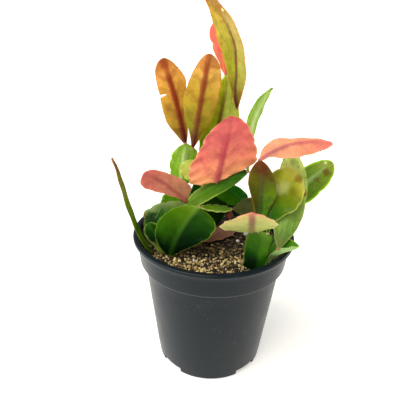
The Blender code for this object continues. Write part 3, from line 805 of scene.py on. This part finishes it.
grown("right_back", on=("low_grey", 1, 0), tip=(74, 14, 141), facing=(0, 40), left=(5, 10, 10.5, 9, 6.5),
      right=(5, 10, 10.8, 10, 7.5), notch=0.07)
# Its pale midrib colour is a painted highlight along the midrib.
blade("right_back", "shoot_front_round", "dark_green_skin",
      ((0, (40, 58, 12)), (0.5, (38, 53, 10)), (0.85, (45, 55, 14)), (1, (56, 62, 20))),
      rib=(62, 72, 46), rib_width=2.4, rib_depth=0.6, edge=(60, 82, 14), edge_width=1.8,
      streak=(26, 40, 6), mottle=(38, 38, 12),
      marks=((2.4, 40, 3.8, (42, 30, 10), 0.75), (2.5, 32.5, 2.6, (38, 28, 8), 0.6),
             (-2.5, 43.4, 1.3, (90, 84, 60), 0.8)))

# The left shoot: a broad cupped joint over the left rim, whose tip bears a long slanting one. Four
# more grow from that: a dusty pink one to the left, the large pink one in front, a small lime one
# behind it and a slim green one at its far end.
grown("left_round", root=(-33, -13.5), tip=(-20.6, -4.5, 117.5), facing=(-10, 50),
      left=(8, 17.5, 20.5, 16.5, 9), right=(5, 8, 9, 9, 7), fold=6, notch=0.07)
# The large dark mark low on its left half is painted shade under the curled flap.
blade("left_round", "shoot_left_round", "green_skin",
      ((0, (0, 14, 0)), (0.45, (6, 28, 0)), (0.7, (16, 38, 2)), (1, (42, 54, 20))),
      edge=((0, (10, 30, 0)), (0.4, (24, 40, 10)), (0.55, (58, 66, 42)), (1, (56, 64, 36))),
      edge_width=8, streak=(56, 66, 42), streaked=0.35,
      marks=((-20.3, 15.4, 3, (52, 34, 24), 0.8), (-15, 15, 6, (7, 20, 2), 0.88)))

grown("long_slant", on=("left_round", 0.94, 1), tip=(19, -6, 140.4), facing=(-10, 40),
      left=(3.4, 4.4, 4.3, 4.2, 3.2), right=(4, 5.4, 5.7, 5.3, 3.6), sweep=-1.8)
blade("long_slant", "shoot_left_round", "green_skin",
      ((0, (46, 57, 20)), (0.3, (32, 47, 5)), (0.6, (20, 38, 0)), (1, (14, 34, 0))), rib=(30, 48, 10),
      rib_depth=0.4, edge_width=1.0, edge=((0, (74, 84, 40)), (0.4, (62, 74, 28)), (0.7, (34, 52, 8))),
      streak=(34, 50, 10), streaked=0.3, veins=0.06, gloss=0.4)

grown("pink_left", on=("long_slant", 0.07, -1), stand=0.6, tip=(-43.2, -14, 139), facing=(10, 50),
      left=(1.2, 4.3, 7.1, 8.5, 7.8), right=(8.5, 11.1, 9.3, 7.1, 5), sweep=2, peak=0.6,
      slant=(-0.48, -0.35))
blade("pink_left", "joint_pink_left", "pink_skin",
      ((0, (66, 48, 32)), (0.5, (82, 53, 42)), (1, (82, 42, 38))), rib=(66, 30, 31), rib_width=2,
      rib_depth=0.7, edge=(88, 50, 42), edge_width=1.2, mottle=(76, 38, 35), veins=0.2)

grown("pink_front", on=("long_slant", 0.545, -0.2), stand=3, tip=(6.8, -5, 173.5), facing=(0, 22),
      left=(12.1, 17.5, 18.2, 14.4, 12.3), right=(6.8, 19.3, 18.8, 15, 10), sweep=0.5,
      slant=(0.75, 0.23), lobes=7, notch=0.06, ruffle=0.6)
blade("pink_front", "joint_pink_front", "pink_skin",
      ((0, (97, 69, 45)), (0.32, (93, 58, 43)), (0.65, (84, 43, 39)), (1, (81, 39, 38))),
      rib=(67, 20, 29), rib_width=3.2, rib_depth=0.8, rib_ends=0.75, edge=(93, 58, 44), edge_width=1.2,
      mottle=(80, 34, 35), mottled=0.7, veins=0.34, vein_spacing=11)

grown("lime_round", on=("long_slant", 0.38, -1), tip=(-19.8, 2, 142), facing=(0, 30),
      left=(1.5, 3.4, 5.6, 6.8, 6), right=(1.5, 3, 5, 6.2, 5))
blade("lime_round", "joint_lime_round", "lime_skin", ((0, (64, 68, 22)), (1, (74, 78, 36))),
      rib=(76, 80, 40), mottle=(56, 66, 20))

grown("right_slim", on=("long_slant", 1, 0), tip=(32.4, 22, 184.5), facing=(40, 20),
      left=(2, 3.6, 4.2, 4, 2.2), sweep=-7.5)
blade("right_slim", "shoot_left_round", "green_skin", ((0, (50, 70, 20)), (1, (58, 74, 22))),
      rib=(78, 86, 56), rib_width=1.8, edge=(52, 70, 10), edge_width=1.2, streak=(78, 87, 56),
      streaked=0.6, mottle=(40, 64, 8), marks=((0, 53, 2.6, (50, 38, 18), 0.7),))

# A small young joint stands in the gap by the left rim. It is one round blade, dark green with a
# pale margin, on a narrow olive stalk from the soil.
grown("left_small", root=(-31.4, -18), tip=(-41.2, -10, 104.5), facing=(10, 45),
      left=(2.2, 3, 4.6, 5.6, 5), right=(3, 3.4, 5.5, 5.5, 4.5))
blade("left_small", "shoot_left_small", "dark_green_skin",
      ((0, (44, 48, 22)), (0.3, (36, 44, 14)), (0.42, (0, 14, 0)), (0.75, (4, 26, 0)), (1, (20, 44, 0))),
      edge=((0, (44, 50, 22)), (0.4, (50, 60, 30)), (1, (60, 76, 34))), edge_width=1.5, veins=0)

# The back shoot: a green joint and a pale one on it, which bears the two upright orange joints. The
# sun has turned those from green to gold, with wine-red midribs and stalks.
grown("back_round", root=(-26, 22), tip=(-23, 13, 119), facing=(0, 30), left=(6, 12, 13, 12, 8))
blade("back_round", "shoot_back", "green_skin", ((0, (26, 50, 2)), (1, (44, 68, 10))), rib=(50, 70, 24),
      edge=(52, 76, 16), mottle=(30, 58, 4))

grown("back_crown", on=("back_round", 1, 0), tip=(-19.5, 11, 150.5), facing=(0, 25),
      left=(4, 8, 9, 8.5, 5.5), right=(4, 8, 9.5, 9.8, 8), notch=0.1)
blade("back_crown", "shoot_back", "green_skin",
      ((0, (42, 64, 8)), (0.5, (54, 72, 16)), (1, (50, 64, 16))), rib=(80, 88, 62), rib_width=2.6,
      rib_depth=0.7, edge=(60, 76, 22), edge_width=1.4, mottle=(70, 84, 46), mottled=0.7,
      streak=(38, 60, 6))

grown("orange_left", on=("back_crown", 1, -0.8), tip=(-34.6, 18, 200.4), facing=(0, 15),
      left=(4.2, 9, 9.2, 8.5, 7.4), right=(2.5, 4.5, 6.3, 9.2, 6.4), sweep=1.3,
      tear=(0.605, -1, 5.4, 0.014))
blade("orange_left", "joint_orange_left", "orange_skin",
      ((0, (30, 7, 7)), (0.06, (44, 38, 10)), (0.3, (63, 52, 14)), (0.6, (87, 65, 25)),
       (0.85, (86, 62, 29)), (1, (60, 32, 14))),
      rib=((0, (28, 5, 9)), (0.14, (38, 9, 6)), (0.4, (48, 12, 5)), (1, (58, 18, 8))), rib_width=2.8,
      rib_depth=0.95, rib_ends=1, edge=(70, 42, 18), edge_width=1, mottle=(66, 36, 15), mottled=0.65,
      veins=0.4, vein_spacing=11, lively=0.35)

grown("orange_right", on=("back_crown", 0.92, 0.85), tip=(-6.5, 9, 205.2), facing=(0, 15),
      left=(2.5, 7.6, 11, 9, 6), right=(3.2, 8, 10.2, 10.2, 8))
blade("orange_right", "joint_orange_right", "orange_skin",
      ((0, (30, 7, 7)), (0.06, (40, 36, 8)), (0.25, (52, 54, 8)), (0.6, (77, 64, 20)),
       (0.85, (87, 67, 32)), (1, (74, 44, 20))),
      rib=((0, (32, 8, 10)), (0.2, (46, 24, 16)), (0.45, (50, 19, 8)), (1, (60, 24, 12))), rib_width=2.7,
      rib_depth=0.9, rib_ends=1.1, edge=(70, 44, 18), edge_width=1, mottle=(62, 38, 14), mottled=0.6,
      veins=0.36, vein_spacing=11, lively=0.35)

# The centre shoot: a base joint with a dark one hanging from it to the right and a tall green one
# above. The tall one bears a long folded olive joint, the highest of all, and a coral one behind it.
grown("centre_base", root=(2, 24), tip=(-9, 17, 127), facing=(0, 20), left=(5, 11, 12.5, 12, 8))
blade("centre_base", "shoot_centre", "green_skin", ((0, (6, 24, 0)), (1, (16, 38, 2))))

grown("centre_hanging", on=("centre_base", 1, 0.3), tip=(22, 20, 106.5), facing=(0, 30),
      left=(2, 4.5, 6, 6.5, 6), right=(3, 7, 7.5, 7, 6))
blade("centre_hanging", "shoot_centre", "green_skin", ((0, (10, 40, 0)), (1, (8, 36, 0))),
      right=((0, (26, 52, 2)), (1, (20, 46, 0))), edge=(24, 46, 6),
      marks=((2, 14, 1, (34, 20, 8), 0.8),))

grown("centre_tall", on=("centre_base", 0.97, 0.5), tip=(3.5, 22, 191.5), facing=(0, 15),
      left=(5, 9, 11.5, 10, 5), right=(4.5, 9, 12, 11, 5.5), sweep=2, peak=0.6, lobes=6)
# Its paler right half is painted light and its darker left half painted shade, on either side of the
# midrib.
blade("centre_tall", "shoot_centre", "green_skin",
      ((0, (40, 60, 0)), (0.3, (52, 66, 0)), (0.6, (60, 71, 2)), (1, (70, 76, 8))),
      right=((0, (72, 82, 30)), (0.5, (80, 86, 40)), (1, (78, 84, 34))), rib=(42, 24, 10), rib_width=2,
      mottle=(54, 58, 8), streak=(54, 70, 12))

grown("olive_tall", on=("centre_tall", 0.68, 0.9), stand=2.5, tip=(-10, 5, 235), facing=(-31, 15),
      left=(1.8, 5.5, 8, 8.6, 5), right=(3.5, 8, 7.6, 6.9, 6.2), sweep=10.3, peak=0.62, fold=30, lobes=6,
      notch=0.03)
blade("olive_tall", "joint_olive_tall", "olive_skin",
      ((0, (30, 6, 10)), (0.1, (50, 48, 12)), (0.4, (66, 66, 16)), (0.75, (82, 74, 30)),
       (0.88, (82, 66, 30)), (1, (56, 34, 12))),
      right=((0, (30, 6, 10)), (0.1, (52, 50, 16)), (0.4, (66, 65, 28)), (0.75, (78, 67, 40)),
             (1, (58, 36, 18))), rib=((0, (32, 6, 12)), (0.3, (42, 17, 18)), (1, (56, 34, 22))),
      rib_width=1.5, edge=(78, 50, 20), edge_width=1.2, mottle=(62, 38, 14), mottled=0.6,
      streak=(54, 58, 8), streaked=0.6,
      marks=((3, 59, 4.5, (60, 36, 12), 0.6), (3.6, 57.8, 1.3, (95, 92, 62), 0.95)), veins=0.04,
      lively=0.35)

grown("coral_back", on=("centre_tall", 1, 0), tip=(-1.5, 26, 228), facing=(0, 10),
      left=(2.8, 5, 7.4, 7.4, 4.6), right=(2.8, 5, 7, 6.5, 3), notch=0.2, lobes=4)
blade("coral_back", "joint_coral_back", "pink_skin",
      ((0, (92, 58, 38)), (0.4, (93, 50, 40)), (1, (94, 47, 42))), rib=(84, 32, 32), mottle=(88, 36, 34),
      veins=0.3)

# A withered joint lies flat on the soil in the middle, where it has dried out: brown, dull and
# rough, with paler streaks and a paler margin.
grown("brown_lying", root=(-8, -1), tip=(15, 17, 88.5), facing=(0, 88), left=(3, 6, 7, 6.5, 4), bow=1,
      lobes=4)
blade("brown_lying", "joint_brown_lying", "brown_skin", ((0, (44, 28, 20)), (1, (56, 40, 32))),
      gloss=0.6, mottle=(36, 20, 14), edge=(60, 42, 34), streak=(60, 44, 36))

# The right shoot: a dark joint at the front of the soil, which bears a pale one that leans out to the
# front, a red-brown upright one and a hollow lime one. A long pink joint lies out from the red one.
grown("front_right", root=(26.3, -33.5), tip=(27.5, -25, 110), facing=(5, 20),
      left=(7.5, 8.4, 8.6, 8.3, 8), right=(4.4, 5.5, 6.2, 7.2, 7.8), lobes=4)
blade("front_right", "shoot_front_right", "dark_green_skin",
      ((0, (0, 4, 0)), (0.3, (0, 12, 0)), (0.5, (10, 32, 0)), (0.75, (28, 50, 8)), (1, (36, 54, 16))),
      right=((0, (0, 10, 0)), (0.3, (12, 36, 0)), (0.6, (30, 52, 8)), (1, (42, 58, 20))),
      edge=(36, 54, 10), edge_width=0.8, gloss=0.4, veins=0.04)

grown("cream_leaning", on=("front_right", 0.93, -1), tip=(20, -45, 132), facing=(3, -40),
      left=(7.4, 15.6, 18.6, 14.6, 7.6), right=(5.6, 12.4, 15, 11.8, 6.8), fold=5, notch=0.03)
blade("cream_leaning", "joint_cream_leaning", "cream_skin",
      ((0, (68, 73, 38)), (0.5, (76, 77, 46)), (0.85, (82, 74, 47)), (1, (88, 66, 50))),
      rib=((0, (62, 56, 36)), (0.4, (56, 42, 34)), (0.75, (54, 31, 31)), (1, (74, 44, 38))),
      rib_width=3.2, rib_depth=0.85, rib_ends=1.2,
      edge=((0, (90, 90, 66)), (0.45, (92, 86, 60)), (0.7, (92, 70, 54)), (1, (88, 56, 44))),
      edge_width=1.4, mottle=(70, 74, 38), streak=(74, 78, 44), veins=0)

grown("red_upright", on=("front_right", 0.97, -0.35), tip=(24.5, -18, 152), facing=(10, 15),
      left=(1.4, 3.2, 6, 8.3, 7), right=(1.4, 5.2, 8.8, 8.2, 4.6), sweep=1.5, peak=0.7, notch=0.03)
# The grey-green middle of its midrib colour is a painted highlight along the midrib.
blade("red_upright", "joint_red_upright", "red_skin",
      ((0, (0, 18, 0)), (0.25, (6, 26, 0)), (0.5, (26, 34, 0)), (0.78, (38, 36, 4)), (1, (42, 20, 10))),
      right=((0, (6, 32, 0)), (0.25, (28, 55, 0)), (0.5, (40, 58, 2)), (0.72, (38, 36, 6)),
             (0.88, (38, 24, 8)), (1, (42, 20, 11))),
      rib=((0, (16, 28, 6)), (0.5, (30, 34, 18)), (1, (36, 22, 14))), rib_width=2.4, rib_depth=0.7,
      edge=((0, (36, 38, 6)), (0.5, (54, 32, 14)), (1, (60, 32, 20))), edge_width=0.8,
      mottle=(36, 14, 6), mottled=0.75, streak=(34, 38, 4), streaked=0.3,
      marks=((0.5, 37, 5, (38, 15, 8), 0.6),), lively=0.5, gloss=0.38)

grown("lime_bowl", on=("front_right", 0.93, 0.9), tip=(49.8, -11.5, 141.2), facing=(0, 25),
      left=(1.5, 3.5, 7.5, 12, 11), right=(2, 7.3, 12, 12.2, 9.8), sweep=-5, cup=0.2, notch=0.06,
      ruffle=0.6)
# The pale mark in the hollow is a painted highlight, and the dark olive mark beside it is painted shade
# under the fold.
blade("lime_bowl", "joint_lime_bowl", "lime_skin",
      ((0, (6, 24, 0)), (0.3, (17, 37, 0)), (0.5, (33, 46, 0)), (0.7, (47, 51, 0)), (0.85, (66, 66, 18)),
       (1, (75, 73, 34))), edge=((0, (44, 56, 10)), (0.6, (70, 72, 28)), (1, (80, 76, 40))),
      edge_width=1.2, gloss=0.36, bends_light=1.25, mottle=(30, 38, 0), mottled=0.4,
      marks=((-2, 27.5, 6, (76, 78, 48), 0.5), (1, 38, 3.2, (52, 40, 8), 0.75),
             (4.5, 30, 3.6, (40, 36, 2), 0.5)), veins=0.05)

grown("pink_right", on=("red_upright", 1, 0), tip=(65.5, -12, 161), facing=(0, 50),
      left=(5.2, 9.6, 5.8, 4.2, 3.5), right=(1.5, 6, 7.8, 7, 4.5), sweep=-4.5, bow=1.5, fold=-20)
blade("pink_right", "joint_pink_right", "pink_skin",
      ((0, (86, 60, 46)), (0.4, (95, 66, 50)), (0.75, (94, 58, 46)), (1, (90, 46, 44))),
      rib=((0, (72, 38, 42)), (1, (82, 40, 42))), rib_width=2, rib_depth=0.75, edge=(95, 64, 48),
      veins=0.2, mottle=(93, 54, 45))

# Two joints by the right rim: a small dark one behind, and a low boat-shaped one at the rim, from
# which the tall pale joint at the right grows.
grown("rim_dark", root=(31, -24.5), tip=(37.3, -15, 102), facing=(15, 30), left=(2.5, 4.5, 5, 4.5, 3),
      lobes=3)
blade("rim_dark", "shoot_rim_dark", "dark_green_skin", ((0, (14, 30, 0)), (1, (24, 40, 8))),
      mottle=(34, 36, 12))

grown("rim_boat", root=(33, -27.8), tip=(49.8, -32, 105.5), facing=(0, 90), left=(1.2, 4, 8.5, 8.5, 5),
      right=(1, 3, 6.5, 6, 3), fold=45, bow=3.2, peak=0.35, lobes=4, notch=0.04)
blade("rim_boat", "shoot_rim_boat", "pale_green_skin", ((0, (14, 36, 0)), (1, (30, 54, 0))),
      under=(60, 74, 44), edge=(60, 74, 34))

grown("right_tall", on=("rim_boat", 0.58, 1), tip=(44, 5, 153), facing=(0, 20), left=(5, 8, 8.5, 8, 4.5),
      right=(3.6, 8.2, 9.8, 10, 6.5), sweep=4.5, bow=-4, peak=0.45, lobes=6)
blade("right_tall", "shoot_rim_boat", "pale_green_skin",
      ((0, (46, 48, 24)), (0.15, (34, 48, 18)), (0.45, (56, 68, 30)), (0.7, (72, 82, 42)),
       (0.85, (82, 90, 50)), (1, (85, 92, 54))), edge=((0, (50, 60, 30)), (1, (76, 76, 42))),
      mottle=(42, 54, 18), mottled=0.6, streak=(62, 72, 40), streaked=0.25, veins=0.05, lively=0.4,
      marks=((8.1, 35.5, 3, (50, 32, 14), 0.8), (2, 54, 3.4, (40, 54, 20), 0.45)))

# Areoles are the small woolly cushions that a cactus grows from: one in each notch of a joint's
# margin, and a larger one under each joint that has grown from another.
CUSHION_RADIUS = 1.15
NOTCH_CUSHION_RADIUS = 0.34
WOOL_STOPS = ((0, (42, 28, 16)), (0.6, (62, 48, 30)), (1, (75, 66, 46)))

cushions = []
for joint in joints.values():
    if "on" in joint:
        cushions.append((*joint["base"], CUSHION_RADIUS, 1))
    for lobe in range(1, joint["lobes"]):
        for edge_side in (-1, 1):
            in_notch = surface(joint, lobe / joint["lobes"], edge_side)[0][0]
            cushions.append((*in_notch, NOTCH_CUSHION_RADIUS, 1))
wool = speckled("areole wool", WOOL_STOPS, roughness=0.9, grains=2500)
areoles = crumbs("areoles", wool, cushions, seed=3)
areoles.data.shade_smooth()
belongs(areoles)

# The feet: where a shoot enters the soil its stalk is round, corky and brown. Each is a short
# tapered stub, from below the grit up to the joint's narrow stalk.
FOOT_RADIUS = 1.4
FOOT_TAPER = 0.6
FOOT_BOTTOM = 80.0
FOOT_TOP = 88.5
FOOT_SIDES = 20
FOOT_SMOOTH_UNDER = 50
CORK_STOPS = ((0, (30, 26, 12)), (1, (46, 42, 22)))

cork = speckled("foot cork", CORK_STOPS, roughness=0.8, grains=1200)
feet_mesh = bmesh.new()
for joint in joints.values():
    if "root" in joint:
        foot = bmesh.ops.create_cone(feet_mesh, cap_ends=True, segments=FOOT_SIDES,
                                     radius1=FOOT_RADIUS * MM, radius2=FOOT_RADIUS * FOOT_TAPER * MM,
                                     depth=(FOOT_TOP - FOOT_BOTTOM) * MM)["verts"]
        bmesh.ops.translate(feet_mesh, verts=foot, vec=(joint["base"][0] * MM, joint["base"][1] * MM,
                                                        (FOOT_BOTTOM + FOOT_TOP) / 2 * MM))
feet = piece("feet", feet_mesh, cork)
feet.data.set_sharp_from_angle(angle=math.radians(FOOT_SMOOTH_UNDER))
belongs(feet)
